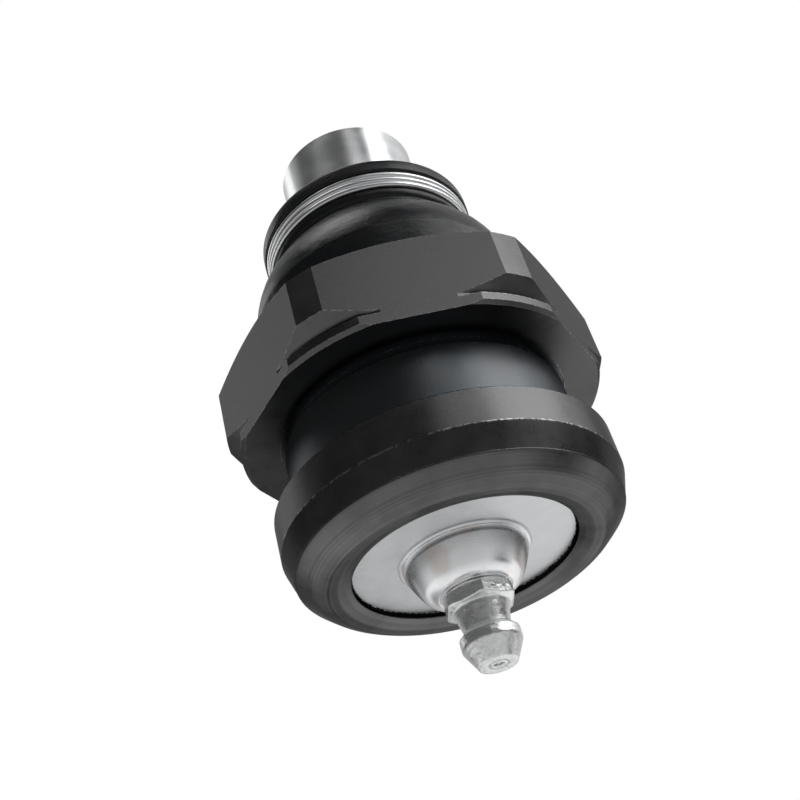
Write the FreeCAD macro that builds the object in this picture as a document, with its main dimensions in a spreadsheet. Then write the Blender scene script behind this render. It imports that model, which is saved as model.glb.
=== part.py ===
import FreeCAD, Part
import math
import os

import Sketcher

os.makedirs("parts", exist_ok=True)

# Driving sizes in millimetres. The axis stands up, with the stud on top.
# Level 0 lies in the end collar, and heights build on what carries them.
SIZES = {
    "collar_wall": 4.7,
    "collar_length": 4.25,
    "collar_edge": 0.25,
    "neck_step": 2.7,
    "flange_height": 11.5,
    "relief_depth": 0.8,
    "relief_height": 1.3,
    "relief_bite": 0.2,
    "relief_land": 0.3,
    "ring_over": 1.0,
    "ring_chamfer": 0.4,
    "ring_height": 0.95,
    "ring_groove_depth": 0.6,
    "ring_groove_width": 0.4,
    "hex_flats": 40.0,
    "hex_corner_over": 2.2,
    "hex_height": 10.5,
    "hex_low_cone": 1.4,
    "hex_top_cone": 1.35,
    "hex_edge_width": 0.25,
    "hex_edge_height": 0.05,
    "rim_cone_width": 0.9,
    "rim_cone_height": 2.75,
    "rim_step_width": 1.85,
    "rim_step_drop": 0.7,
    "rim_crest_width": 1.65,
    "rim_crest_drop": 0.7,
    "rim_lip_height": 1.55,
    "rim_round": 1.3,
    "rim_inner_round": 0.8,
    "lip_overlap": 2.1,
    "mouth_flare": 0.4,
    "spigot_dia": 29.2,
    "spigot_height": 2.8,
    "spigot_wall": 1.9,
    "spigot_lip": 0.7,
    "spigot_lip_height": 0.8,
    "ball_dia": 24.0,
    "ball_height": 10.9,
    "ball_base_dia": 11.2,
    "stud_neck_dia": 13.0,
    "stud_neck_height": 17.5,
    "stud_neck_cone": 4.0,
    "stud_neck_round": 1.2,
    "stud_land_step": 0.25,
    "stud_land_length": 9.65,
    "stud_dia": 17.5,
    "stud_length": 11.7,
    "stud_chamfer": 0.4,
    "race_wall": 1.4,
    "race_over": 0.4,
    "race_lip": 0.55,
    "race_end_gap": 0.1,
    "socket_height": 7.3,
    "throat_step": 1.55,
    "cup_top_drop": 0.6,
    "cup_floor": 1.1,
    "cup_hole_dia": 4.0,
    "disc_space": 1.9,
    "disc_side_gap": 0.7,
    "disc_width": 5.7,
    "disc_thickness": 0.95,
    "cover_seat": 0.9,
    "cover_thickness": 1.5,
    "cover_recess": 0.55,
    "dome_dia": 13.2,
    "dome_foot_width": 0.7,
    "dome_foot_height": 0.3,
    "dome_foot_edge": 0.15,
    "dome_step_height": 0.25,
    "dome_height": 4.4,
    "dome_top_land": 0.3,
    "dome_wall": 1.3,
    "thread_dia": 6.0,
    "thread_length": 5.4,
    "nipple_flats": 7.0,
    "nipple_corner_over": 0.4,
    "nipple_hex_height": 1.9,
    "nipple_hex_chamfer": 0.3,
    "nipple_neck_high_dia": 6.0,
    "nipple_neck_low_dia": 4.9,
    "nipple_neck_length": 2.3,
    "nipple_head_dia": 6.4,
    "nipple_head_shoulder": 0.7,
    "nipple_head_band": 1.1,
    "nipple_head_taper": 2.1,
    "nipple_head_round": 0.5,
    "nipple_tip_dia": 4.15,
    "nipple_tip_ring_dia": 1.9,
    "nipple_tip_ring_width": 0.14,
    "nipple_bore_gap": 0.2,
    "nipple_feed_dia": 1.2,
    "nipple_port_dia": 1.0,
    "nipple_port_length": 0.23,
    "check_ball_dia": 1.6,
    "coil_wire_dia": 0.28,
    "coil_inset": 0.3,
    "coil_height": 2.6,
    "coil_turns": 4.0,
    "boot_top_gap": 0.3,
    "boot_collar_wall": 4.95,
    "boot_lip_height": 1.35,
    "boot_groove_depth": 1.0,
    "boot_shoulder_height": 1.1,
    "boot_shoulder_inset": 0.6,
    "boot_bulge_over": 0.5,
    "boot_bulge_height": 2.8,
    "boot_waist_rise": 2.8,
    "boot_waist_height": 0.6,
    "boot_waist_wall": 0.6,
    "boot_foot_wall": 1.2,
    "boot_foot_gap": 0.15,
    "boot_wall": 1.5,
    "boot_round": 3.0,
    "boot_edge": 0.5,
    "wire_dia": 0.8,
    "wire_gap": 0.02,
    "wire_turns": 2.5,
    "foot_wire_dia": 1.0,
    "press_gap": 0.03,
    "run_gap": 0.04,
    "seat_gap": 0.05,
    "rubber_gap": 0.03,
}

doc = FreeCAD.newDocument("ball_joint")
sheet = doc.addObject("Spreadsheet::Sheet", "sizes")
for row, (name, value) in enumerate(SIZES.items(), start=1):
    sheet.set("A%d" % row, name)
    sheet.set("B%d" % row, str(value))
    sheet.setAlias("B%d" % row, name)
doc.recompute()


class Size:
    """A length that carries its value and the sheet expression behind it."""

    def __init__(self, value, text):
        self.value = value
        self.text = text

    def __add__(self, other):
        return Size(self.value + other.value, "(%s + %s)" % (self.text, other.text))

    def __sub__(self, other):
        return Size(self.value - other.value, "(%s - %s)" % (self.text, other.text))

    def __mul__(self, factor):
        return Size(self.value * factor, "(%s * %r)" % (self.text, factor))

    def __truediv__(self, factor):
        return Size(self.value / factor, "(%s / %r)" % (self.text, factor))

    def other_leg(self, leg):
        """The second leg of a right triangle with this length as its long side."""
        value = math.sqrt(self.value ** 2 - leg.value ** 2)
        return Size(value, "sqrt(%s ^ 2 - %s ^ 2)" % (self.text, leg.text))


def size(name):
    return Size(SIZES[name], "sizes.%s" % name)


def half(name):
    return size(name) / 2


ZERO = Size(0.0, "0")
ROOT_TWO = math.sqrt(2.0)
ROOT_THREE = math.sqrt(3.0)


def new_body(name):
    body = doc.addObject("PartDesign::Body", name)
    return body


def origin_plane(body, role):
    for feature in body.Origin.OriginFeatures:
        if feature.Role == role:
            return feature
    raise RuntimeError("no plane %s" % role)


def bind_point(sketch, line, end, across, along):
    """Place one end of a sketch line by two sheet expressions."""
    for kind, coordinate in (("DistanceX", across), ("DistanceY", along)):
        if coordinate.text == "0":
            axis = -2 if kind == "DistanceX" else -1
            sketch.addConstraint(Sketcher.Constraint("PointOnObject", line, end, axis))
            continue
        index = sketch.addConstraint(
            Sketcher.Constraint(kind, -1, 1, line, end, coordinate.value))
        sketch.setExpression("Constraints[%d]" % index, coordinate.text)


def outline(body, name, plane, corners):
    """A closed sketch through the corners, each bound to the sheet."""
    sketch = body.newObject("Sketcher::SketchObject", name)
    sketch.AttachmentSupport = [(origin_plane(body, plane), "")]
    sketch.MapMode = "FlatFace"
    add_loop(sketch, corners)
    return sketch


def add_loop(sketch, corners):
    points = [FreeCAD.Vector(a.value, b.value, 0) for a, b in corners]
    first = sketch.GeometryCount
    count = len(points)
    for i in range(count):
        sketch.addGeometry(Part.LineSegment(points[i], points[(i + 1) % count]), False)
    for i in range(count):
        following = first + (i + 1) % count
        sketch.addConstraint(Sketcher.Constraint("Coincident", first + i, 2, following, 1))
    for i, (across, along) in enumerate(corners):
        bind_point(sketch, first + i, 1, across, along)


def turn(body, name, corners):
    """Revolve a half profile, given as radius and level, about the axis."""
    sketch = outline(body, name + "_profile", "XZ_Plane", corners)
    feature = body.newObject("PartDesign::Revolution", name)
    feature.Profile = sketch
    feature.ReferenceAxis = (sketch, ["V_Axis"])
    feature.Angle = 360
    doc.recompute()
    return feature


def cut_turned(body, name, corners):
    """Cut a turned recess and make sure that it removed material."""
    before = body.Shape.Volume
    sketch = outline(body, name + "_profile", "XZ_Plane", corners)
    feature = body.newObject("PartDesign::Groove", name)
    feature.Profile = sketch
    feature.ReferenceAxis = (sketch, ["V_Axis"])
    feature.Angle = 360
    doc.recompute()
    if body.Shape.Volume >= before:
        raise RuntimeError("%s removed nothing" % name)
    return feature


def sphere(body, name, kind, diameter, level, low_angle=None):
    feature = body.newObject("PartDesign::%sSphere" % kind, name)
    feature.setExpression("Radius", diameter.text)
    feature.setExpression("Placement.Base.z", level.text)
    if low_angle is not None:
        feature.setExpression("Angle1", low_angle)
    doc.recompute()
    return feature


def hex_flats(body, name, flats, reach, low, high, quarter_turn=False):
    """Cut six flats by a ring-shaped pocket with a hexagonal inside."""
    before = body.Shape.Volume
    sketch = body.newObject("Sketcher::SketchObject", name + "_outline")
    sketch.AttachmentSupport = [(origin_plane(body, "XY_Plane"), "")]
    sketch.MapMode = "FlatFace"
    sketch.setExpression("AttachmentOffset.Base.z", high.text)
    corner = flats / ROOT_THREE
    across = flats / 2
    inside = [
        (corner, ZERO),
        (corner / 2, across),
        (corner / -2, across),
        (corner * -1, ZERO),
        (corner / -2, across * -1),
        (corner / 2, across * -1),
    ]
    if quarter_turn:
        inside = [(across, along) for along, across in reversed(inside)]
    add_loop(sketch, inside)
    circle = sketch.addGeometry(
        Part.Circle(FreeCAD.Vector(0, 0, 0), FreeCAD.Vector(0, 0, 1), reach.value), False)
    sketch.addConstraint(Sketcher.Constraint("Coincident", circle, 3, -1, 1))
    index = sketch.addConstraint(Sketcher.Constraint("Radius", circle, reach.value))
    sketch.setExpression("Constraints[%d]" % index, reach.text)
    pocket = body.newObject("PartDesign::Pocket", name)
    pocket.Profile = sketch
    pocket.setExpression("Length", (high - low).text)
    doc.recompute()
    if body.Shape.Volume >= before:
        raise RuntimeError("%s removed nothing" % name)
    return pocket


def circle_edges(shape, places, tolerance=0.02):
    """Names of the circular edges at the given radius and level pairs."""
    names = []
    for number, edge in enumerate(shape.Edges, start=1):
        curve = edge.Curve
        if not isinstance(curve, Part.Circle):
            continue
        for radius, level in places:
            same_radius = abs(curve.Radius - radius.value) < tolerance
            same_level = abs(curve.Center.z - level.value) < tolerance
            if same_radius and same_level:
                names.append("Edge%d" % number)
    return names


def round_edges(body, name, places, radius):
    base = body.Tip
    names = circle_edges(base.Shape, places)
    if len(names) < len(places):
        raise RuntimeError("%s found %d edges" % (name, len(names)))
    fillet = body.newObject("PartDesign::Fillet", name)
    fillet.Base = (base, names)
    fillet.setExpression("Radius", radius.text)
    doc.recompute()
    return fillet


def wire_section(body, name, centre_radius, wire_dia, level):
    """A round wire section beside the axis."""
    sketch = body.newObject("Sketcher::SketchObject", name + "_section")
    sketch.AttachmentSupport = [(origin_plane(body, "XZ_Plane"), "")]
    sketch.MapMode = "FlatFace"
    centre = FreeCAD.Vector(centre_radius.value, level.value, 0)
    circle = Part.Circle(centre, FreeCAD.Vector(0, 0, 1), wire_dia.value / 2)
    sketch.addGeometry(circle, False)
    bind_point(sketch, 0, 3, centre_radius, level)
    index = sketch.addConstraint(Sketcher.Constraint("Radius", 0, wire_dia.value / 2))
    sketch.setExpression("Constraints[%d]" % index, (wire_dia / 2).text)
    doc.recompute()
    return sketch


def coil(body, name, centre_radius, wire_dia, height, turns, low):
    """A round-wire coil about the axis, starting at the given level."""
    sketch = wire_section(body, name, centre_radius, wire_dia, low)
    helix = body.newObject("PartDesign::AdditiveHelix", name)
    helix.Profile = sketch
    helix.ReferenceAxis = (sketch, ["V_Axis"])
    helix.Mode = 0
    helix.setExpression("Pitch", (height / turns).text)
    helix.setExpression("Height", height.text)
    doc.recompute()
    return helix


def hoop(body, name, centre_radius, wire_dia, level):
    """A closed ring of round wire about the axis."""
    sketch = wire_section(body, name, centre_radius, wire_dia, level)
    feature = body.newObject("PartDesign::Revolution", name)
    feature.Profile = sketch
    feature.ReferenceAxis = (sketch, ["V_Axis"])
    feature.Angle = 360
    doc.recompute()
    return feature


# Ball, and the stack of pieces that it sits in.
ball_level = size("ball_height")
ball_radius = half("ball_dia")
cup_base = ball_level - ball_radius - size("cup_floor")
cover_back = cup_base - size("disc_space")
cover_face = cover_back - size("cover_thickness")
socket_radius = ball_radius + size("race_wall")
socket_top = ball_level + size("socket_height")
throat_radius = ball_radius - size("throat_step")
cover_radius = socket_radius + size("cover_seat")

# Housing: flange, neck and end collar turned in one, then six flats and the socket.
collar_radius = cover_radius + size("collar_wall")
neck_radius = collar_radius - size("neck_step")
flange_face = size("flange_height")
neck_top = flange_face - size("relief_height")
relief_radius = neck_radius - size("relief_depth")
relief_top = flange_face + size("relief_bite")
relief_outer = neck_radius + size("relief_land")
hex_radius = half("hex_flats")
hex_corner_radius = hex_radius + size("hex_corner_over")
hex_top = flange_face + size("hex_height")
ring_radius = hex_radius + size("ring_over")
ring_groove_radius = ring_radius - size("ring_groove_depth")
ring_low = flange_face + size("ring_chamfer")
ring_top = ring_low + size("ring_height")
ring_groove_top = ring_top + size("ring_groove_width")
mouth_radius = cover_radius - size("lip_overlap")
mouth_level = cover_face - size("cover_recess")
rim_radius = collar_radius - size("rim_cone_width")
lip_radius = rim_radius - size("rim_step_width")
lip_crest_radius = lip_radius - size("rim_crest_width")
lip_crest = mouth_level - size("rim_crest_drop")
lip_top = lip_crest + size("rim_lip_height")
rim_low = lip_top + size("rim_step_drop")
collar_low = rim_low + size("rim_cone_height")
collar_top = collar_low + size("collar_length")
spigot_radius = half("spigot_dia")
spigot_top = hex_top + size("spigot_height")
spigot_lip_radius = spigot_radius + size("spigot_lip")
spigot_lip_low = spigot_top - size("spigot_lip_height")
housing = new_body("housing")
turn(housing, "housing_turned", [
    (mouth_radius + size("mouth_flare"), mouth_level),
    (lip_crest_radius, lip_crest),
    (lip_radius, lip_crest),
    (lip_radius, lip_top),
    (rim_radius, rim_low),
    (collar_radius, collar_low),
    (collar_radius, collar_top - size("collar_edge")),
    (collar_radius - size("collar_edge"), collar_top),
    (neck_radius, collar_top),
    (neck_radius, neck_top),
    (relief_radius, neck_top),
    (relief_radius, relief_top),
    (relief_outer, relief_top),
    (relief_outer, flange_face),
    (ring_radius - size("ring_chamfer"), flange_face),
    (ring_radius, ring_low),
    (ring_radius, ring_top),
    (ring_groove_radius, ring_top),
    (ring_groove_radius, ring_groove_top),
    (hex_corner_radius, ring_groove_top + size("hex_low_cone")),
    (hex_corner_radius, hex_top - size("hex_top_cone")),
    (hex_radius, hex_top - size("hex_edge_height")),
    (hex_radius - size("hex_edge_width"), hex_top),
    (spigot_radius, hex_top),
    (spigot_radius, spigot_lip_low),
    (spigot_lip_radius, spigot_lip_low),
    (spigot_lip_radius, spigot_top),
    (spigot_radius - size("spigot_wall"), spigot_top),
    (throat_radius, socket_top),
    (socket_radius, socket_top),
    (socket_radius, cover_back),
    (cover_radius + size("press_gap"), cover_back),
    (cover_radius + size("press_gap"), cover_face),
    (mouth_radius, cover_face),
])
hex_flats(housing, "housing_flats", size("hex_flats"), size("hex_flats"), neck_top, spigot_top)
round_edges(housing, "lip_round", [(lip_radius, lip_crest)], size("rim_round"))
round_edges(housing, "lip_inner_round", [(lip_crest_radius, lip_crest)], size("rim_inner_round"))

# Ball stud: turned stem on a ball with a flat base.
neck_meets_ball = ball_level + ball_radius.other_leg(half("stud_neck_dia"))
stud_neck_top = ball_level + size("stud_neck_height")
stud_land_low = stud_neck_top + size("stud_neck_cone")
stud_low = stud_land_low + size("stud_land_length")
stud_top = stud_low + size("stud_length")
stud_radius = half("stud_dia")
land_radius = stud_radius - size("stud_land_step")
stud = new_body("ball_stud")
turn(stud, "stud_turned", [
    (ZERO, ball_level),
    (half("stud_neck_dia"), ball_level),
    (half("stud_neck_dia"), stud_neck_top),
    (land_radius, stud_land_low),
    (land_radius, stud_low),
    (stud_radius, stud_low),
    (stud_radius, stud_top - size("stud_chamfer")),
    (stud_radius - size("stud_chamfer"), stud_top),
    (ZERO, stud_top),
])
base_angle = "-acos(sizes.ball_base_dia / sizes.ball_dia)"
sphere(stud, "stud_ball", "Additive", ball_radius, ball_level, base_angle)
round_edges(stud, "stud_neck_round", [(half("stud_neck_dia"), neck_meets_ball)],
            size("stud_neck_round"))

# Upper race and lower cup share the ball's size plus a running gap.
seat_radius = ball_radius + size("run_gap")
race_radius = socket_radius - size("press_gap")
race_throat_radius = throat_radius - size("race_lip")
race_low = ball_level + size("race_over")
race_top = socket_top - size("race_end_gap")
race = new_body("bearing_race")
turn(race, "race_turned", [
    (race_throat_radius, race_low),
    (race_radius, race_low),
    (race_radius, race_top),
    (race_throat_radius, race_top),
])
sphere(race, "race_seat", "Subtractive", seat_radius, ball_level)

cup_radius = socket_radius - size("seat_gap")
cup_top = ball_level - size("cup_top_drop")
cup = new_body("pressure_cup")
turn(cup, "cup_turned", [
    (half("cup_hole_dia"), cup_base),
    (cup_radius, cup_base),
    (cup_radius, cup_top),
    (half("cup_hole_dia"), cup_top),
])
sphere(cup, "cup_seat", "Subtractive", seat_radius, ball_level)

# Coned disc spring between the cover's back and the cup.
disc = new_body("preload_spring")
disc_top = cup_base - size("seat_gap")
disc_outer_radius = socket_radius - size("disc_side_gap")
disc_inner_radius = disc_outer_radius - size("disc_width")
turn(disc, "disc_turned", [
    (disc_outer_radius, cover_back),
    (disc_outer_radius, cover_back + size("disc_thickness")),
    (disc_inner_radius, disc_top),
    (disc_inner_radius, disc_top - size("disc_thickness")),
])

# Cover plate with the raised cone that takes the nipple.
dome_radius = half("dome_dia")
dome_foot_radius = dome_radius + size("dome_foot_width")
dome_foot = cover_face - size("dome_foot_height")
dome_top = cover_face - size("dome_height")
dome_top_radius = half("nipple_flats") + size("dome_top_land")
cover = new_body("cover_plate")
turn(cover, "cover_turned", [
    (half("thread_dia"), dome_top),
    (dome_top_radius, dome_top),
    (dome_radius, dome_foot - size("dome_step_height")),
    (dome_radius, dome_foot),
    (dome_foot_radius - size("dome_foot_edge"), dome_foot),
    (dome_foot_radius, dome_foot + size("dome_foot_edge")),
    (dome_foot_radius, cover_face),
    (cover_radius, cover_face),
    (cover_radius, cover_back),
    (dome_radius - size("dome_wall"), cover_back),
    (half("thread_dia"), cover_face - size("dome_wall")),
])

# Grease nipple, hanging from the cone with its tip down.
hex_low = dome_top - size("nipple_hex_height")
neck_low = hex_low - size("nipple_neck_length")
head_radius = half("nipple_head_dia")
band_top = neck_low - size("nipple_head_shoulder")
band_low = band_top - size("nipple_head_band")
tip = band_low - size("nipple_head_taper")
thread_radius = half("thread_dia") - size("press_gap")
thread_top = dome_top + size("thread_length")
nipple_corner_radius = half("nipple_flats") + size("nipple_corner_over")
nipple = new_body("grease_nipple")
turn(nipple, "nipple_turned", [
    (ZERO, thread_top),
    (thread_radius, thread_top),
    (thread_radius, dome_top),
    (nipple_corner_radius - size("nipple_hex_chamfer") * 1.6, dome_top),
    (nipple_corner_radius, dome_top - size("nipple_hex_chamfer")),
    (nipple_corner_radius, hex_low + size("nipple_hex_chamfer")),
    (half("nipple_neck_high_dia"), hex_low),
    (half("nipple_neck_low_dia"), neck_low),
    (head_radius, band_top),
    (head_radius, band_low),
    (half("nipple_tip_dia"), tip),
    (ZERO, tip),
])
round_edges(nipple, "nipple_head_round", [(head_radius, band_low)], size("nipple_head_round"))
hex_flats(nipple, "nipple_flats", size("nipple_flats"), size("nipple_flats"), hex_low, dome_top,
          quarter_turn=True)

# The bore's coned seat touches the check ball, and a step above holds its spring.
check_radius = half("check_ball_dia")
port_radius = half("nipple_port_dia")
bore_radius = check_radius + size("nipple_bore_gap")
seat_low = tip + size("nipple_port_length")
seat_top = seat_low + bore_radius - port_radius
check_level = seat_low - port_radius + (check_radius + size("run_gap")) * ROOT_TWO
coil_low = check_level + check_radius + half("coil_wire_dia") + size("run_gap")
coil_stop = coil_low + size("coil_height") + half("coil_wire_dia") + size("run_gap")
cut_turned(nipple, "nipple_bore", [
    (ZERO, thread_top),
    (half("nipple_feed_dia"), thread_top),
    (half("nipple_feed_dia"), coil_stop),
    (bore_radius, coil_stop),
    (bore_radius, seat_top),
    (port_radius, seat_low),
    (port_radius, tip),
    (ZERO, tip),
])
tip_ring_outer = half("nipple_tip_ring_dia") + size("nipple_tip_ring_width")
cut_turned(nipple, "nipple_tip_ring", [
    (half("nipple_tip_ring_dia"), tip),
    (tip_ring_outer, tip),
    (tip_ring_outer, tip + size("nipple_tip_ring_width")),
    (half("nipple_tip_ring_dia"), tip + size("nipple_tip_ring_width")),
])

check = new_body("nipple_ball")
sphere(check, "check_ball", "Additive", check_radius, check_level)

spring = new_body("nipple_spring")
coil(spring, "spring_coil", (size("check_ball_dia") - size("coil_inset")) / 2,
     size("coil_wire_dia"), size("coil_height"), SIZES["coil_turns"], coil_low)

# Rubber boot from the housing's spigot up to the stud's land.
boot_bore = land_radius + size("rubber_gap")
boot_collar_top = stud_low - size("boot_top_gap")
boot_collar_radius = land_radius + size("boot_collar_wall")
boot_lip_low = boot_collar_top - size("boot_lip_height")
ring_coil_height = (size("wire_dia") + size("wire_gap")) * SIZES["wire_turns"]
boot_groove_low = boot_lip_low - ring_coil_height - size("wire_dia") - size("rubber_gap") * 2
boot_groove_radius = boot_collar_radius - size("boot_groove_depth")
boot_shoulder_radius = boot_collar_radius - size("boot_shoulder_inset")
boot_shoulder_low = boot_groove_low - size("boot_shoulder_height")
foot_bore = spigot_radius + size("rubber_gap")
foot_radius = spigot_radius + size("boot_foot_wall")
foot_low = hex_top + size("boot_foot_gap")
lip_bore = spigot_lip_radius + size("rubber_gap")
waist_level = spigot_top + size("boot_waist_height")
bulge_low = waist_level + size("boot_waist_rise")
bulge_high = bulge_low + size("boot_bulge_height")
bulge_radius = foot_radius + size("boot_bulge_over")
boot = new_body("boot")
turn(boot, "boot_turned", [
    (boot_bore, boot_shoulder_low),
    (bulge_radius - size("boot_wall"), bulge_high),
    (bulge_radius - size("boot_wall"), bulge_low),
    (foot_radius - size("boot_waist_wall"), waist_level),
    (lip_bore, spigot_top),
    (lip_bore, spigot_lip_low),
    (foot_bore, spigot_lip_low),
    (foot_bore, foot_low),
    (foot_radius, foot_low),
    (foot_radius, waist_level),
    (bulge_radius, bulge_low),
    (bulge_radius, bulge_high),
    (boot_shoulder_radius, boot_shoulder_low),
    (boot_shoulder_radius, boot_groove_low),
    (boot_groove_radius, boot_groove_low),
    (boot_groove_radius, boot_lip_low),
    (boot_collar_radius, boot_lip_low),
    (boot_collar_radius, boot_collar_top),
    (boot_bore, boot_collar_top),
])
round_edges(boot, "boot_bulge_round", [(bulge_radius, bulge_high), (bulge_radius, bulge_low)],
            size("boot_round"))
round_edges(boot, "boot_lip_round", [
    (boot_collar_radius, boot_collar_top),
    (boot_shoulder_radius, boot_shoulder_low),
], size("boot_edge"))

# Wire rings that hold the boot.
ring = new_body("upper_boot_ring")
wire_radius = boot_groove_radius + half("wire_dia") + size("rubber_gap")
wire_low = boot_groove_low + half("wire_dia") + size("rubber_gap")
coil(ring, "ring_coil", wire_radius, size("wire_dia"), ring_coil_height,
     SIZES["wire_turns"], wire_low)

foot_ring = new_body("lower_boot_ring")
foot_wire_radius = foot_radius + half("foot_wire_dia") + size("rubber_gap")
hoop(foot_ring, "foot_hoop", foot_wire_radius, size("foot_wire_dia"),
     foot_low + size("foot_wire_dia"))

doc.recompute()
for item in doc.Objects:
    if "Invalid" in item.State or "Error" in item.State:
        raise RuntimeError("%s is %s" % (item.Name, item.State))

for body in doc.findObjects("PartDesign::Body"):
    shape = body.Shape
    if shape.isNull() or not shape.isValid() or len(shape.Solids) != 1:
        raise RuntimeError("%s is not one valid solid" % body.Name)
    box = shape.BoundBox
    print("%-16s volume %9.1f  z %7.2f to %6.2f  radius %6.2f"
          % (body.Name, shape.Volume, box.ZMin, box.ZMax, box.XMax))
    shape.exportStep("parts/%s.step" % body.Name)
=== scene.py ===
import math

import bmesh
import bpy
from mathutils import Euler, Matrix, Vector


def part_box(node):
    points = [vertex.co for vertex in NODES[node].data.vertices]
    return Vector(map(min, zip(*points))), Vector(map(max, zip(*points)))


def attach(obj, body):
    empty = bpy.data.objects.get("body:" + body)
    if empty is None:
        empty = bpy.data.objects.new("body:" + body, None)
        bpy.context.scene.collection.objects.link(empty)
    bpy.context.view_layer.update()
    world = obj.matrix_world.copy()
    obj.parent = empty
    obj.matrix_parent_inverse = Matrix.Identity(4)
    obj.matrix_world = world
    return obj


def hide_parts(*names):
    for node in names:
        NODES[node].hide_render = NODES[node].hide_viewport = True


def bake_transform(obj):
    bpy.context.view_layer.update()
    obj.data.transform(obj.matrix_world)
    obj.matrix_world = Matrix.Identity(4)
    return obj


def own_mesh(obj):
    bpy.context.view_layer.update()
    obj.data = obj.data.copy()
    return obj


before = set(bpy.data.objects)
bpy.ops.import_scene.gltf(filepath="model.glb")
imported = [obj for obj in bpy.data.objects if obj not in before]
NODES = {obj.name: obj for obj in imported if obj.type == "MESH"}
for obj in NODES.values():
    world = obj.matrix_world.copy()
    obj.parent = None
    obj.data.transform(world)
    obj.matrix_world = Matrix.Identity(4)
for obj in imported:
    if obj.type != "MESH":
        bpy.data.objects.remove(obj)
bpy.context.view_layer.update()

bl_info = {
    "name": "Ball joint dressing",
    "version": (1, 0, 0),
    "blender": (4, 5, 0),
    "location": "View3D > Sidebar > Ball joint",
    "description": "Shapes the rubber boot and finishes the metal of a suspension ball joint",
    "category": "Object",
}

MM = 0.001
BOOT_LOW, BOOT_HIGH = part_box("boot")
LAND_RADIUS = 8.5 * MM
SPIGOT_RADIUS = 14.6 * MM
SPIGOT_LIP_RADIUS = 15.3 * MM
SPIGOT_LIP_LEVEL = 24.0 * MM
SPIGOT_TOP = 24.8 * MM
COLLAR_LOW = -1.85 * MM
COLLAR_TOP = 2.3 * MM
NECK_RADIUS = 16.4 * MM
MOUTH_LEVEL = -6.15 * MM
MOUTH_RADIUS = 12.62 * MM
COLLAR_SIDE = 18.7 * MM
RIM_LEVEL = -4.45 * MM
DOME_FOOT_RADIUS = 6.95 * MM
SPIN_STEPS = 128
LIP_STEPS = 160


# Settings that a user would change.
def length(name, description, default):
    """A length in metres."""
    return bpy.props.FloatProperty(
        name=name, description=description, default=default, min=0.0,
        unit="LENGTH", subtype="DISTANCE", precision=5)


def tint(name, description, default):
    """A colour."""
    return bpy.props.FloatVectorProperty(
        name=name, description=description, default=default, size=3,
        min=0.0, max=1.0, subtype="COLOR")


def share(name, description, default):
    """A share from 0 to 1."""
    return bpy.props.FloatProperty(
        name=name, description=description, default=default, min=0.0, max=1.0,
        subtype="FACTOR")


def power(name, description, default):
    """A lamp's power or strength."""
    return bpy.props.FloatProperty(
        name=name, description=description, default=default, min=0.0, precision=3)


class BootSizes(bpy.types.PropertyGroup):
    """Sizes of the rubber boot."""

    wall: length("Wall", "Thickness of the rubber in the bulge", 1.5 * MM)
    collar_radius: length("Collar radius", "Radius of the thick upper collar", 13.45 * MM)
    lip_level: length("Lip level", "Height of the collar's lower edge", 39.95 * MM)
    groove_depth: length("Groove depth", "How far the wire ring's groove cuts in", 1.0 * MM)
    groove_level: length("Groove level", "Height of the groove's lower edge", 37.49 * MM)
    bead_radius: length("Bead radius", "Radius of the bead under the groove", 12.85 * MM)
    bead_level: length("Bead level", "Height of the bead's lower edge", 36.7 * MM)
    valley_depth: length("Valley depth", "How far the valley under the bead dips", 0.55 * MM)
    valley_level: length("Valley level", "Height of the valley under the bead", 36.1 * MM)
    bulge_radius: length("Bulge radius", "Largest radius of the boot", BOOT_HIGH.x)
    bulge_high: length("Bulge top", "Height where the bulge turns in", 31.0 * MM)
    bulge_low: length("Bulge foot", "Height where the bulge starts", 28.2 * MM)
    foot_radius: length("Foot radius", "Outer radius of the foot", 15.8 * MM)
    wire_turns: bpy.props.IntProperty(
        name="Wire turns", description="Turns of wire in the collar's groove", default=3, min=1)


class FinishTints(bpy.types.PropertyGroup):
    """Colours of the finishes."""

    oxide: tint("Black oxide", "Colour of the black steel", (0.118, 0.118, 0.119))
    cool: tint("Neck oxide", "Cooler tone of the black steel on the neck", (0.098, 0.110, 0.120))
    rim: tint("Rim", "Warm tone on the rolled rim", (0.118, 0.104, 0.094))
    rubber: tint("Boot rubber", "Colour of the boot", (0.012, 0.012, 0.013))
    teal: tint("Rubber sheen", "Cool tone in patches of the boot", (0.006, 0.012, 0.014))
    plate: tint("Satin zinc", "Colour of the cover plate", (0.765, 0.78, 0.79))
    warm_zinc: tint("Warm zinc", "Warm patches on the cover's dome", (0.80, 0.71, 0.67))
    bright_zinc: tint("Bright zinc", "Colour of the grease nipple", (0.92, 0.93, 0.93))
    steel: tint("Bright steel", "Colour of the stud", (0.82, 0.83, 0.84))
    wire: tint("Wire", "Colour of the two wire rings", (0.76, 0.77, 0.78))
    bearing: tint("Bearing plastic", "Colour of the race and cup", (0.80, 0.77, 0.69))
    wear: share("Edge wear", "How much bare metal shows along edges", 0.6)


class StudioSettings(bpy.types.PropertyGroup):
    """Light and camera of the studio."""

    lens: bpy.props.FloatProperty(
        name="Lens", description="Focal length of the camera in millimetres",
        default=52.07, min=10.0)
    softbox: power("Softbox", "Power of the large softbox in watts", 1.60)
    top_card: power("Top card", "Power of the grey card over the camera in watts", 0.18)
    side_card: power("Side card", "Power of the pale card on the right in watts", 0.42)
    left_card: power("Left card", "Power of the pale card on the far left in watts", 0.30)
    overhead: power("Overhead", "Power of the soft sheet over the joint in watts", 1.20)
    room: power("Room", "Strength of the studio's own light", 0.08)


# Node materials.
BARE_STEEL = (0.55, 0.55, 0.55)
# Near black, painted on the mouth's wall round the cover as its shade.
MOUTH_PAINTED_SHADE = (0.004, 0.004, 0.004)
RUBBER_DUST = (0.05, 0.05, 0.052)


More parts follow.
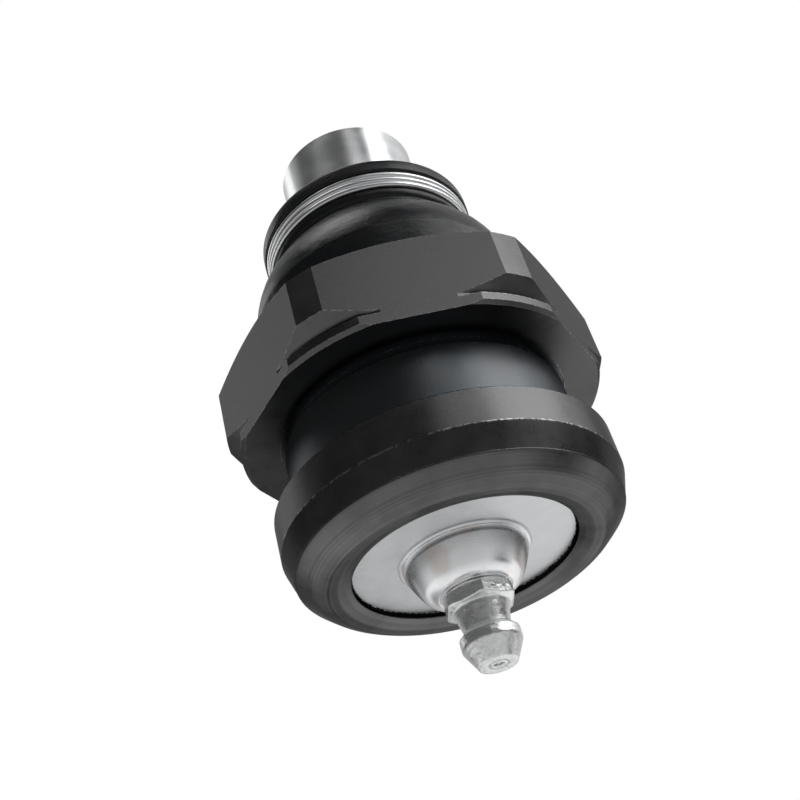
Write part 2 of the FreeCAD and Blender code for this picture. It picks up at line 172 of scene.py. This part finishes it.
class Finish:
    """A node material with short ways to add and join nodes."""

    def __init__(self, name):
        self.material = bpy.data.materials.new(name)
        self.material.use_nodes = True
        self.tree = self.material.node_tree
        self.shader = self.tree.nodes["Principled BSDF"]
        self.place = self.add("ShaderNodeTexCoord").outputs["Object"]

    def add(self, kind, **values):
        node = self.tree.nodes.new(kind)
        for name, value in values.items():
            setattr(node, name, value)
        return node

    def join(self, source, target):
        self.tree.links.new(source, target)

    def put(self, socket, value):
        if isinstance(value, bpy.types.NodeSocket):
            self.join(value, socket)
        else:
            socket.default_value = value

    def noise(self, size, detail=3.0, roughness=0.55, stretch=(1.0, 1.0, 1.0)):
        """Soft noise whose blotches are about size metres across."""
        mapping = self.add("ShaderNodeMapping")
        mapping.inputs["Scale"].default_value = [s / size for s in stretch]
        self.join(self.place, mapping.inputs["Vector"])
        node = self.add("ShaderNodeTexNoise")
        node.inputs["Scale"].default_value = 1.0
        node.inputs["Detail"].default_value = detail
        node.inputs["Roughness"].default_value = roughness
        self.join(mapping.outputs["Vector"], node.inputs["Vector"])
        return node.outputs["Fac"]

    def turning_marks(self, pitch):
        """Fine rings that a lathe leaves, by height and radius."""
        along = self.math("ADD", self.math("MULTIPLY", self.level(), 1.0 / pitch),
                          self.math("MULTIPLY", self.radius(), 1.3 / pitch))
        joined = self.add("ShaderNodeCombineXYZ")
        self.join(along, joined.inputs["X"])
        marks = self.add("ShaderNodeTexNoise")
        marks.inputs["Scale"].default_value = 1.0
        marks.inputs["Detail"].default_value = 2.0
        self.join(joined.outputs["Vector"], marks.inputs["Vector"])
        return marks.outputs["Fac"]

    def radius(self):
        """Distance from the joint's axis."""
        flat = self.add("ShaderNodeVectorMath", operation="MULTIPLY")
        self.join(self.place, flat.inputs[0])
        flat.inputs[1].default_value = (1.0, 1.0, 0.0)
        size = self.add("ShaderNodeVectorMath", operation="LENGTH")
        self.join(flat.outputs["Vector"], size.inputs[0])
        return size.outputs["Value"]

    def coordinate(self, axis):
        """One coordinate of the place: X, Y or Z."""
        split = self.add("ShaderNodeSeparateXYZ")
        self.join(self.place, split.inputs["Vector"])
        return split.outputs[axis]

    def level(self):
        """Height along the joint's axis."""
        return self.coordinate("Z")

    def math(self, operation, first, second=0.0):
        node = self.add("ShaderNodeMath", operation=operation)
        self.put(node.inputs[0], first)
        self.put(node.inputs[1], second)
        return node.outputs["Value"]

    def between(self, value, low, high, out_low, out_high):
        """Map a value from one range to another, clamped."""
        node = self.add("ShaderNodeMapRange")
        self.put(node.inputs["Value"], value)
        node.inputs["From Min"].default_value = low
        node.inputs["From Max"].default_value = high
        node.inputs["To Min"].default_value = out_low
        node.inputs["To Max"].default_value = out_high
        return node.outputs["Result"]

    def edges(self, radius, low, high):
        """A mask of sharp edges, from the normals near each point."""
        bevel = self.add("ShaderNodeBevel", samples=6)
        bevel.inputs["Radius"].default_value = radius
        geometry = self.add("ShaderNodeNewGeometry")
        dot = self.add("ShaderNodeVectorMath", operation="DOT_PRODUCT")
        self.join(bevel.outputs["Normal"], dot.inputs[0])
        self.join(geometry.outputs["Normal"], dot.inputs[1])
        turned = self.math("SUBTRACT", 1.0, dot.outputs["Value"])
        return self.between(turned, low, high, 0.0, 1.0)

    def colours(self, factor, first, second):
        node = self.add("ShaderNodeMix", data_type="RGBA")
        self.put(node.inputs["Factor"], factor)
        self.put(node.inputs[6], rgba(first) if isinstance(first, (tuple, list)) else first)
        self.put(node.inputs[7], rgba(second) if isinstance(second, (tuple, list)) else second)
        return node.outputs[2]

    def rounded(self, radius):
        """Normals that round each sharp edge off by a radius."""
        node = self.add("ShaderNodeBevel", samples=8)
        node.inputs["Radius"].default_value = radius
        return node.outputs["Normal"]

    def bump(self, heights, normal=None):
        """Join several height maps, each with its own depth in metres, as bump."""
        for height, depth in heights:
            node = self.add("ShaderNodeBump")
            node.inputs["Strength"].default_value = 1.0
            node.inputs["Distance"].default_value = depth
            self.join(height, node.inputs["Height"])
            if normal is not None:
                self.join(normal, node.inputs["Normal"])
            normal = node.outputs["Normal"]
        self.join(normal, self.shader.inputs["Normal"])

    def set(self, **values):
        for name, value in values.items():
            self.put(self.shader.inputs[name.replace("_", " ")], value)


def rgba(colour, factor=1.0):
    """A colour with its alpha, made darker or lighter by a factor."""
    return tuple(c * factor for c in colour[:3]) + (1.0,)


def black_oxide(tints):
    """Semi-gloss black oxide on turned and milled steel, with bare nicks on its edges, painted
    highlight streaks on its rim and painted shade on the mouth's wall.
    """
    finish = Finish("black_oxide")
    cloud = finish.noise(2.6 * MM, detail=4.0, roughness=0.6)
    patch = finish.noise(5.0 * MM, detail=3.0)
    grain = finish.noise(0.16 * MM, detail=3.0, roughness=0.7)
    nick = finish.noise(0.4 * MM, detail=2.0)
    edge = finish.edges(0.18 * MM, 0.010, 0.10)
    radius = finish.radius()
    level = finish.level()
    # The collar's two edges are worn all round.
    outside = finish.between(radius, COLLAR_SIDE, COLLAR_SIDE + 0.1 * MM, 0.0, 1.0)
    for line in (COLLAR_LOW, COLLAR_TOP):
        near = finish.math("ABSOLUTE", finish.math("SUBTRACT", level, line))
        band = finish.between(near, 0.05 * MM, 0.16 * MM, 1.0, 0.0)
        edge = finish.math("MAXIMUM", edge, finish.math("MULTIPLY", outside, band))
    worn = finish.math("MULTIPLY", edge, finish.between(nick, 0.46, 0.62, 0.0, tints.wear))
    base = finish.colours(finish.between(cloud, 0.3, 0.7, 0.0, 1.0),
                          rgba(tints.oxide, 0.9), rgba(tints.oxide, 1.1))
    neck = finish.math("MULTIPLY",
                       finish.between(level, COLLAR_TOP, COLLAR_TOP + 0.3 * MM, 0.0, 1.0),
                       finish.between(radius, NECK_RADIUS, NECK_RADIUS + 0.3 * MM, 1.0, 0.0))
    base = finish.colours(finish.math("MULTIPLY", neck, finish.between(patch, 0.4, 0.6, 0.4, 1.0)),
                          base, rgba(tints.cool))
    rim = finish.between(level, RIM_LEVEL - 0.6 * MM, RIM_LEVEL, 1.0, 0.0)
    warm = finish.math("MULTIPLY", rim, finish.between(patch, 0.45, 0.65, 0.0, 0.5))
    base = finish.colours(warm, base, rgba(tints.rim))
    # Painted highlight streaks: the oxide is made lighter along the turning marks on the rim.
    rings = finish.turning_marks(0.55 * MM)
    streak = finish.between(finish.math("MULTIPLY", rings, patch), 0.17, 0.36, 0.0, 1.0)
    base = finish.colours(finish.math("MULTIPLY", rim, streak), base, rgba(tints.oxide, 1.35))
    # Painted shade: the mouth's wall round the cover is made near black, where the gap lies in
    # shadow.
    mouth = finish.math(
        "MULTIPLY", finish.between(radius, MOUTH_RADIUS, MOUTH_RADIUS + 0.13 * MM, 1.0, 0.0),
        finish.between(level, MOUTH_LEVEL - 0.1 * MM, MOUTH_LEVEL + 0.05 * MM, 0.0, 1.0))
    base = finish.colours(mouth, base, MOUTH_PAINTED_SHADE)
    bare = finish.colours(worn, base, BARE_STEEL)
    finish.join(bare, finish.shader.inputs["Base Color"])
    rough = finish.math("ADD", finish.between(cloud, 0.3, 0.7, 0.27, 0.34),
                        finish.between(grain, 0.3, 0.7, -0.03, 0.04))
    rough = finish.math("ADD", rough, finish.math("MULTIPLY", neck, 0.05))
    finish.join(rough, finish.shader.inputs["Roughness"])
    finish.set(Metallic=1.0, Specular_Tint=(0.45, 0.45, 0.45, 1.0))
    finish.bump([(grain, 0.009 * MM), (finish.turning_marks(0.16 * MM), 0.002 * MM)])
    return finish.material


def boot_rubber(tints):
    """Satin black rubber with faint mould texture, streaks and dust."""
    finish = Finish("boot_rubber")
    cloud = finish.noise(4.0 * MM, detail=3.0)
    streak = finish.noise(2.2 * MM, detail=4.0, stretch=(1.0, 1.0, 2.6))
    grain = finish.noise(0.18 * MM, detail=2.0, roughness=0.6)
    dust = finish.noise(0.5 * MM, detail=4.0, roughness=0.7)
    base = finish.colours(finish.between(dust, 0.55, 0.8, 0.0, 0.3),
                          rgba(tints.rubber), RUBBER_DUST)
    base = finish.colours(finish.between(cloud, 0.48, 0.66, 0.0, 0.8), base, rgba(tints.teal))
    finish.join(base, finish.shader.inputs["Base Color"])
    finish.join(finish.between(streak, 0.3, 0.7, 0.24, 0.38), finish.shader.inputs["Roughness"])
    finish.set(Metallic=0.0, Specular_IOR_Level=0.30)
    finish.bump([(grain, 0.010 * MM), (cloud, 0.10 * MM), (streak, 0.05 * MM)])
    return finish.material


def satin_zinc(tints):
    """Satin zinc on the pressed cover, brighter and warmer on its dome."""
    finish = Finish("satin_zinc")
    cloud = finish.noise(2.5 * MM, detail=3.0)
    grain = finish.noise(0.12 * MM, detail=2.0, roughness=0.6)
    dome = finish.between(finish.radius(), DOME_FOOT_RADIUS, DOME_FOOT_RADIUS + 0.3 * MM,
                          1.0, 0.0)
    base = finish.colours(finish.between(cloud, 0.3, 0.7, 0.0, 1.0),
                          rgba(tints.plate, 0.93), rgba(tints.plate, 1.06))
    base = finish.colours(dome, base, rgba(tints.plate, 1.2))
    patch = finish.noise(4.0 * MM, detail=2.0)
    warm = finish.math("MULTIPLY", dome, finish.between(patch, 0.48, 0.62, 0.0, 0.6))
    base = finish.colours(warm, base, rgba(tints.warm_zinc))
    finish.join(base, finish.shader.inputs["Base Color"])
    rough = finish.add("ShaderNodeMix", data_type="FLOAT")
    finish.join(dome, rough.inputs["Factor"])
    finish.join(finish.between(cloud, 0.3, 0.7, 0.46, 0.54), rough.inputs[2])
    finish.join(finish.between(cloud, 0.3, 0.7, 0.24, 0.34), rough.inputs[3])
    finish.join(rough.outputs[0], finish.shader.inputs["Roughness"])
    finish.set(Metallic=1.0)
    finish.bump([(grain, 0.006 * MM), (finish.turning_marks(0.12 * MM), 0.003 * MM)])
    return finish.material


def bright_zinc(tints):
    """Bright zinc on the turned nipple."""
    finish = Finish("bright_zinc")
    cloud = finish.noise(1.2 * MM, detail=3.0)
    base = finish.colours(finish.between(cloud, 0.3, 0.7, 0.0, 1.0),
                          rgba(tints.bright_zinc, 0.9), rgba(tints.bright_zinc, 1.05))
    finish.join(base, finish.shader.inputs["Base Color"])
    finish.join(finish.between(cloud, 0.3, 0.7, 0.24, 0.40), finish.shader.inputs["Roughness"])
    finish.set(Metallic=0.85)
    dents = finish.noise(0.7 * MM, detail=2.0)
    finish.bump([(finish.turning_marks(0.10 * MM), 0.004 * MM), (dents, 0.09 * MM)],
                normal=finish.rounded(0.35 * MM))
    return finish.material


def turned_steel(tints, name, colour, rough_low, rough_high, pitch):
    """Bright steel with fine turning marks."""
    finish = Finish(name)
    cloud = finish.noise(3.0 * MM, detail=3.0)
    base = finish.colours(finish.between(cloud, 0.3, 0.7, 0.0, 1.0),
                          rgba(colour, 0.92), rgba(colour, 1.05))
    finish.join(base, finish.shader.inputs["Base Color"])
    finish.join(finish.between(cloud, 0.3, 0.7, rough_low, rough_high),
                finish.shader.inputs["Roughness"])
    finish.set(Metallic=1.0)
    finish.bump([(finish.turning_marks(pitch), 0.002 * MM)])
    return finish.material


def bearing_plastic(tints):
    """Matt moulded plastic of the race and the cup."""
    finish = Finish("bearing_plastic")
    cloud = finish.noise(2.0 * MM, detail=3.0)
    grain = finish.noise(0.15 * MM, detail=2.0)
    base = finish.colours(finish.between(cloud, 0.3, 0.7, 0.0, 1.0),
                          rgba(tints.bearing, 0.9), rgba(tints.bearing, 1.04))
    finish.join(base, finish.shader.inputs["Base Color"])
    finish.join(finish.between(grain, 0.3, 0.7, 0.5, 0.62), finish.shader.inputs["Roughness"])
    finish.bump([(grain, 0.01 * MM)])
    return finish.material


def coat(material, *names):
    """Give CAD nodes a finish by their material slots."""
    for name in names:
        mesh = NODES[name].data
        if not mesh.materials:
            mesh.materials.append(material)
        for index in range(len(mesh.materials)):
            mesh.materials[index] = material


# Shapes.
# The rolled lip round the cover: radius, level and rounding in millimetres.
LIP_CORNERS = (
    (18.08, -4.50, 0.0),
    (18.12, -4.66, 0.0),
    (17.30, -5.45, 0.9),
    (16.20, -6.40, 1.4),
    (15.10, -6.92, 1.2),
    (14.00, -6.84, 1.2),
    (13.00, -6.52, 0.8),
    (12.42, -6.24, 0.45),
    (12.42, -5.75, 0.0),
    (13.60, -6.10, 0.0),
    (16.80, -5.10, 0.0),
)
# The dome over the cover's cone, in the same terms. Its last corners are inside the metal.
DOME_CORNERS = (
    (6.30, -5.80, 0.0),
    (6.88, -5.80, 0.0),
    (6.86, -6.35, 0.3),
    (5.98, -8.25, 0.9),
    (4.95, -9.85, 0.85),
    (3.70, -9.97, 0.0),
    (3.60, -9.60, 0.0),
    (5.00, -7.80, 0.0),
)


def make_object(name, mesh_builder, material):
    """Run a bmesh builder and link the result as a smooth-shaded object."""
    mesh = bpy.data.meshes.new(name)
    shape = bmesh.new()
    mesh_builder(shape)
    bmesh.ops.remove_doubles(shape, verts=shape.verts, dist=0.001 * MM)
    bmesh.ops.recalc_face_normals(shape, faces=shape.faces)
    for face in shape.faces:
        face.smooth = True
    shape.to_mesh(mesh)
    shape.free()
    mesh.materials.append(material)
    piece = bpy.data.objects.new(name, mesh)
    bpy.context.scene.collection.objects.link(piece)
    return piece


def spin_profile(shape, corners, steps):
    """Turn a closed profile about the axis. Each corner is radius, level and rounding."""
    verts = [shape.verts.new((radius, 0.0, level)) for radius, level, _ in corners]
    pairs = list(zip(verts, verts[1:] + verts[:1]))
    for first, second in pairs:
        shape.edges.new((first, second))
    for vert, (_, _, rounding) in zip(verts, corners):
        if rounding > 0.0:
            bmesh.ops.bevel(shape, geom=[vert], offset=rounding, offset_type="OFFSET",
                            segments=5, profile=0.5, affect="VERTICES", material=-1)
    profile = shape.verts[:] + shape.edges[:]
    bmesh.ops.spin(shape, geom=profile, cent=(0.0, 0.0, 0.0), axis=(0.0, 0.0, 1.0),
                   angle=2.0 * math.pi, steps=steps, use_merge=True, use_duplicate=False)


def in_metres(corners):
    """Turn a profile's millimetres into metres."""
    return [(radius * MM, level * MM, rounding * MM) for radius, level, rounding in corners]


class BALLJOINT_OT_boot(bpy.types.Operator):
    """Make the rubber boot with its collar, ring groove and bulge"""

    bl_idname = "balljoint.boot"
    bl_label = "Rubber boot"

    def execute(self, context):
        sizes = context.scene.ball_joint_boot
        tints = context.scene.ball_joint_tints
        bore = LAND_RADIUS + 0.03 * MM
        groove = sizes.collar_radius - sizes.groove_depth
        # Radius, level and rounding: down the outside from the collar, then up the inside.
        corners = [
            (bore, BOOT_HIGH.z, 0.25 * MM),
            (sizes.collar_radius, BOOT_HIGH.z, 0.35 * MM),
            (sizes.collar_radius, sizes.lip_level, 0.25 * MM),
            (groove, sizes.lip_level, 0.2 * MM),
            (groove, sizes.groove_level, 0.2 * MM),
            (sizes.bead_radius, sizes.groove_level, 0.3 * MM),
            (sizes.bead_radius, sizes.bead_level, 0.35 * MM),
            (sizes.bead_radius - sizes.valley_depth, sizes.valley_level, 0.4 * MM),
            (sizes.bead_radius + 0.55 * MM, sizes.valley_level - 1.0 * MM, 0.7 * MM),
            (sizes.bulge_radius, sizes.bulge_high, 2.6 * MM),
            (sizes.bulge_radius, sizes.bulge_low, 2.6 * MM),
            (sizes.foot_radius, SPIGOT_TOP + 0.6 * MM, 0.6 * MM),
            (sizes.foot_radius, BOOT_LOW.z, 0.3 * MM),
            (SPIGOT_RADIUS + 0.03 * MM, BOOT_LOW.z, 0.1 * MM),
            (SPIGOT_RADIUS + 0.03 * MM, SPIGOT_LIP_LEVEL, 0.0),
            (SPIGOT_LIP_RADIUS + 0.03 * MM, SPIGOT_LIP_LEVEL, 0.0),
            (SPIGOT_LIP_RADIUS + 0.03 * MM, SPIGOT_TOP, 0.0),
            (sizes.bulge_radius - sizes.wall, sizes.bulge_low, 1.4 * MM),
            (sizes.bulge_radius - sizes.wall, sizes.bulge_high, 1.4 * MM),
            (bore, sizes.bead_level, 0.8 * MM),
        ]
        piece = make_object(
            "boot_bellows", lambda shape: spin_profile(shape, corners, SPIN_STEPS),
            boot_rubber(tints))
        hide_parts("boot")
        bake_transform(piece)
        return {"FINISHED"}


class BALLJOINT_OT_housing(bpy.types.Operator):
    """Finish the forged housing in black oxide and round its rolled lip"""

    bl_idname = "balljoint.housing"
    bl_label = "Housing finish"

    def execute(self, context):
        oxide = black_oxide(context.scene.ball_joint_tints)
        coat(oxide, "housing")
        corners = in_metres(LIP_CORNERS)
        lip = make_object("rolled_lip", lambda shape: spin_profile(shape, corners, LIP_STEPS),
                          oxide)
        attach(lip, "housing")
        return {"FINISHED"}


class BALLJOINT_OT_cover(bpy.types.Operator):
    """Round the cover's dome and finish the cover plate and the grease nipple in zinc"""

    bl_idname = "balljoint.cover"
    bl_label = "Cover and nipple finish"

    def execute(self, context):
        tints = context.scene.ball_joint_tints
        zinc = satin_zinc(tints)
        coat(zinc, "cover_plate")
        corners = in_metres(DOME_CORNERS)
        dome = make_object("cover_dome", lambda shape: spin_profile(shape, corners, SPIN_STEPS),
                           zinc)
        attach(dome, "housing")
        coat(bright_zinc(tints), "grease_nipple")
        return {"FINISHED"}


class BALLJOINT_OT_stud(bpy.types.Operator):
    """Finish the ball stud and the check ball in bright steel"""

    bl_idname = "balljoint.stud"
    bl_label = "Stud finish"

    def execute(self, context):
        tints = context.scene.ball_joint_tints
        coat(turned_steel(tints, "stud_steel", tints.steel, 0.21, 0.27, 0.3 * MM), "ball_stud")
        coat(turned_steel(tints, "check_ball_steel", tints.steel, 0.08, 0.14, 0.3 * MM),
             "nipple_ball")
        return {"FINISHED"}


def wire_turns(shape, radius, thickness, low, turns):
    """Stack closed turns of round wire from a level upwards."""
    for turn in range(turns):
        made = bmesh.ops.create_circle(shape, cap_ends=False, segments=20, radius=thickness / 2.0)
        stand = Matrix.Translation((radius, 0.0, low + thickness * (turn + 0.5)))
        stand = stand @ Matrix.Rotation(math.pi / 2.0, 4, "X")
        bmesh.ops.transform(shape, matrix=stand, verts=made["verts"])
        edges = list({edge for vert in made["verts"] for edge in vert.link_edges})
        bmesh.ops.spin(shape, geom=made["verts"] + edges, cent=(0.0, 0.0, 0.0),
                       axis=(0.0, 0.0, 1.0), angle=2.0 * math.pi, steps=SPIN_STEPS,
                       use_merge=True, use_duplicate=False)


class BALLJOINT_OT_rings(bpy.types.Operator):
    """Wind the upper wire ring and finish the wires and the springs"""

    bl_idname = "balljoint.rings"
    bl_label = "Wire rings"

    def execute(self, context):
        sizes = context.scene.ball_joint_boot
        tints = context.scene.ball_joint_tints
        wire = turned_steel(tints, "ring_wire", tints.wire, 0.28, 0.38, 0.6 * MM)
        coat(wire, "lower_boot_ring")
        thickness = (sizes.lip_level - sizes.groove_level - 0.02 * MM) / sizes.wire_turns
        radius = sizes.collar_radius - sizes.groove_depth + thickness / 2.0 + 0.01 * MM
        piece = make_object("collar_ring_wire", lambda shape: wire_turns(
            shape, radius, thickness, sizes.groove_level + 0.01 * MM, sizes.wire_turns), wire)
        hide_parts("upper_boot_ring")
        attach(piece, "boot_ring")
        spring_wire = turned_steel(tints, "spring_wire", rgba(tints.steel, 0.55), 0.3, 0.42,
                                   0.3 * MM)
        coat(spring_wire, "preload_spring")
        self.wind_valve_spring(spring_wire)
        return {"FINISHED"}

    def wind_valve_spring(self, wire):
        """Copy the nipple's spring into a piece of its own that rides on the housing."""
        piece = make_object("valve_coil",
                            lambda shape: shape.from_mesh(NODES["nipple_spring"].data), wire)
        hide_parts("nipple_spring")
        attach(piece, "housing")
        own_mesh(piece)


class BALLJOINT_OT_bearing(bpy.types.Operator):
    """Finish the plastic race and cup"""

    bl_idname = "balljoint.bearing"
    bl_label = "Bearing finish"

    def execute(self, context):
        coat(bearing_plastic(context.scene.ball_joint_tints), "bearing_race", "pressure_cup")
        return {"FINISHED"}


# Studio. Directions are in the part's frame.
CAMERA_PLACE = Vector((-17.543, -109.010, -60.930)) * MM
CAMERA_TURN = (126.0813, 13.7125, 1.6006)
LOOK_AWAY = Vector((0.117, 0.812, 0.572))
SENSOR_WIDTH = 36.0
FLOOR_LEVEL = -95 * MM
SHEET_SIDE = 4.0
BACKDROP_DISTANCE = 1.2
# How bright the backdrop is in reflections: place and strength at its left and right.
BACKDROP_GLOW = ((-0.8, 0.42), (0.9, 0.62))
# The same for the floor: a round glow that fades outwards, dimmer towards the camera.
GLOW_CENTRE = (0.06, 0.13, FLOOR_LEVEL)
GLOW_FADE = ((0.20, 1.0), (0.60, 0.15))
GLOW_NEAR_CAMERA = ((-0.05, 0.62), (0.06, 0.98))
# Where the floor's reflection is dark: place, inner and outer radius.
DARK_SPOTS = (
    ((-0.045, 0.145, FLOOR_LEVEL), 0.035, 0.085),
    ((0.145, -0.030, FLOOR_LEVEL), 0.040, 0.070),
    ((-0.020, 0.235, FLOOR_LEVEL), 0.020, 0.060),
)
DARK_SPOT_STRENGTH = 0.12
# Each lamp's direction, distance and width.
LAMPS = {
    "softbox": ((0.735, -0.455, 0.505), 0.60, 0.48),
    "top_card": ((0.225, -0.770, 0.600), 0.60, 0.26),
    "side_card": ((0.860, 0.060, 0.500), 0.70, 0.34),
    "left_card": ((-0.637, 0.498, 0.588), 0.60, 0.36),
    "overhead": ((-0.215, -0.165, 0.963), 0.80, 0.42),
}


class StageFinish(Finish):
    """A stage material: white for eyes, and its own glow for reflections."""

    def show(self, plain, seen, mirrored):
        """Mix the plain shader with a glow for camera, transmission and glossy rays."""
        path = self.add("ShaderNodeLightPath")
        straight = self.math("MAXIMUM", path.outputs["Is Camera Ray"],
                             path.outputs["Is Transmission Ray"])
        strength = self.math("ADD", self.math("MULTIPLY", straight, seen),
                             self.math("MULTIPLY", path.outputs["Is Glossy Ray"], mirrored))
        glow = self.add("ShaderNodeEmission")
        self.join(strength, glow.inputs["Strength"])
        mix = self.add("ShaderNodeMixShader")
        self.join(self.math("MAXIMUM", straight, path.outputs["Is Glossy Ray"]), mix.inputs[0])
        self.join(plain, mix.inputs[1])
        self.join(glow.outputs[0], mix.inputs[2])
        return mix.outputs[0]

    def ramp(self, value, ends):
        """A strength that goes from one end, a value and its strength, to the other."""
        (start, first), (stop, last) = ends
        return self.between(value, start, stop, first, last)

    def spot(self, centre, ends):
        """A round spot whose strength goes from one distance to another."""
        away = self.add("ShaderNodeVectorMath", operation="DISTANCE")
        self.join(self.place, away.inputs[0])
        away.inputs[1].default_value = centre
        return self.ramp(away.outputs["Value"], ends)

    def finish(self, shader):
        self.join(shader, self.tree.nodes["Material Output"].inputs["Surface"])
        return self.material


def stage_sheet(name, centre, facing, material):
    """Lay a flat square of the stage that faces a direction."""
    shape = bmesh.new()
    bmesh.ops.create_grid(shape, x_segments=1, y_segments=1, size=SHEET_SIDE / 2.0)
    turn = facing.to_track_quat("Z", "Y").to_matrix().to_4x4()
    bmesh.ops.transform(shape, matrix=turn, verts=shape.verts)
    bmesh.ops.translate(shape, vec=centre, verts=shape.verts)
    mesh = bpy.data.meshes.new(name)
    shape.to_mesh(mesh)
    shape.free()
    mesh.materials.append(material)
    sheet = bpy.data.objects.new(name, mesh)
    bpy.context.scene.collection.objects.link(sheet)


def area_light(name, way, distance, width, watts):
    """Hang a round soft lamp in a direction from the joint, facing it."""
    data = bpy.data.lights.new(name, "AREA")
    data.shape = "DISK"
    data.size = width
    data.energy = watts
    lamp = bpy.data.objects.new(name, data)
    way = way.normalized()
    lamp.location = way * distance
    lamp.rotation_euler = way.to_track_quat("Z", "Y").to_euler()
    bpy.context.scene.collection.objects.link(lamp)


class BALLJOINT_OT_studio(bpy.types.Operator):
    """Set the floor, backdrop, lights and camera"""

    bl_idname = "balljoint.studio"
    bl_label = "Studio"

    def execute(self, context):
        studio = context.scene.ball_joint_studio
        self.make_stage()
        self.make_world(studio)
        for name, (way, distance, width) in LAMPS.items():
            area_light(name, Vector(way), distance, width, getattr(studio, name))
        camera_data = bpy.data.cameras.new("camera")
        camera_data.lens = studio.lens
        camera_data.sensor_width = SENSOR_WIDTH
        camera_data.clip_start = 0.005
        camera_data.clip_end = 20.0
        camera = bpy.data.objects.new("camera", camera_data)
        camera.location = CAMERA_PLACE
        camera.rotation_euler = Euler([math.radians(turn) for turn in CAMERA_TURN], "XYZ")
        context.scene.collection.objects.link(camera)
        context.scene.camera = camera
        context.scene.view_settings.view_transform = "Standard"
        return {"FINISHED"}

    def make_stage(self):
        """Lay the floor and stand the backdrop."""
        white = StageFinish("backdrop_white")
        white.set(Base_Color=(0.8, 0.8, 0.8, 1.0))
        glow = white.ramp(white.coordinate("X"), BACKDROP_GLOW)
        white.finish(white.show(white.shader.outputs[0], 1.0, glow))
        stage_sheet("backdrop", LOOK_AWAY * BACKDROP_DISTANCE, -LOOK_AWAY, white.material)

        pale = StageFinish("floor_pale")
        pale.set(Base_Color=(0.85, 0.85, 0.85, 1.0), Roughness=0.9)
        glow = pale.spot(GLOW_CENTRE, GLOW_FADE)
        for centre, inner, outer in DARK_SPOTS:
            dark = pale.spot(centre, ((inner, DARK_SPOT_STRENGTH), (outer, 1.0)))
            glow = pale.math("MULTIPLY", glow, dark)
        near_camera = pale.ramp(pale.coordinate("Y"), GLOW_NEAR_CAMERA)
        glow = pale.math("MULTIPLY", glow, near_camera)
        shown = pale.show(pale.shader.outputs[0], 0.9, glow)
        # Part plain, so that the object's shadow stays, and clear from below.
        half = pale.add("ShaderNodeMixShader")
        path = pale.add("ShaderNodeLightPath")
        pale.join(pale.math("MAXIMUM", path.outputs["Is Glossy Ray"], 0.6), half.inputs[0])
        pale.join(pale.shader.outputs[0], half.inputs[1])
        pale.join(shown, half.inputs[2])
        clear = pale.add("ShaderNodeBsdfTransparent")
        side = pale.add("ShaderNodeNewGeometry")
        under = pale.add("ShaderNodeMixShader")
        pale.join(side.outputs["Backfacing"], under.inputs[0])
        pale.join(half.outputs[0], under.inputs[1])
        pale.join(clear.outputs[0], under.inputs[2])
        pale.finish(under.outputs[0])
        stage_sheet("floor", Vector((0.0, 0.0, FLOOR_LEVEL)), Vector((0.0, 0.0, 1.0)),
                    pale.material)

    def make_world(self, studio):
        """Set the room's light, white to the camera."""
        world = bpy.data.worlds.new("studio_world")
        bpy.context.scene.world = world
        world.use_nodes = True
        tree = world.node_tree
        room = tree.nodes["Background"]
        room.inputs["Color"].default_value = (1.0, 1.0, 1.0, 1.0)
        room.inputs["Strength"].default_value = studio.room
        white = tree.nodes.new("ShaderNodeBackground")
        white.inputs["Color"].default_value = (1.0, 1.0, 1.0, 1.0)
        white.inputs["Strength"].default_value = 1.0
        path = tree.nodes.new("ShaderNodeLightPath")
        mix = tree.nodes.new("ShaderNodeMixShader")
        tree.links.new(path.outputs["Is Camera Ray"], mix.inputs[0])
        tree.links.new(room.outputs[0], mix.inputs[1])
        tree.links.new(white.outputs[0], mix.inputs[2])
        tree.links.new(mix.outputs[0], tree.nodes["World Output"].inputs["Surface"])


class BALLJOINT_PT_panel(bpy.types.Panel):
    """Lists the steps and settings of the ball joint"""

    bl_idname = "BALLJOINT_PT_panel"
    bl_label = "Ball joint"
    bl_space_type = "VIEW_3D"
    bl_region_type = "UI"
    bl_category = "Ball joint"

    def draw(self, context):
        scene = context.scene
        for settings in (scene.ball_joint_boot, scene.ball_joint_tints, scene.ball_joint_studio):
            box = self.layout.box()
            for name in settings.bl_rna.properties.keys():
                if name not in ("rna_type", "name"):
                    box.prop(settings, name)
        for operator in OPERATORS:
            self.layout.operator(operator.bl_idname)


OPERATORS = (
    BALLJOINT_OT_boot,
    BALLJOINT_OT_housing,
    BALLJOINT_OT_cover,
    BALLJOINT_OT_stud,
    BALLJOINT_OT_rings,
    BALLJOINT_OT_bearing,
    BALLJOINT_OT_studio,
)
CLASSES = (BootSizes, FinishTints, StudioSettings) + OPERATORS + (BALLJOINT_PT_panel,)


def register():
    for cls in CLASSES:
        bpy.utils.register_class(cls)
    bpy.types.Scene.ball_joint_boot = bpy.props.PointerProperty(type=BootSizes)
    bpy.types.Scene.ball_joint_tints = bpy.props.PointerProperty(type=FinishTints)
    bpy.types.Scene.ball_joint_studio = bpy.props.PointerProperty(type=StudioSettings)


def unregister():
    del bpy.types.Scene.ball_joint_studio
    del bpy.types.Scene.ball_joint_tints
    del bpy.types.Scene.ball_joint_boot
    for cls in reversed(CLASSES):
        bpy.utils.unregister_class(cls)


def main():
    register()
    bpy.ops.balljoint.studio()
    bpy.ops.balljoint.housing()
    bpy.ops.balljoint.cover()
    bpy.ops.balljoint.stud()
    bpy.ops.balljoint.bearing()
    bpy.ops.balljoint.boot()
    bpy.ops.balljoint.rings()


if __name__ == "__main__":
    main()
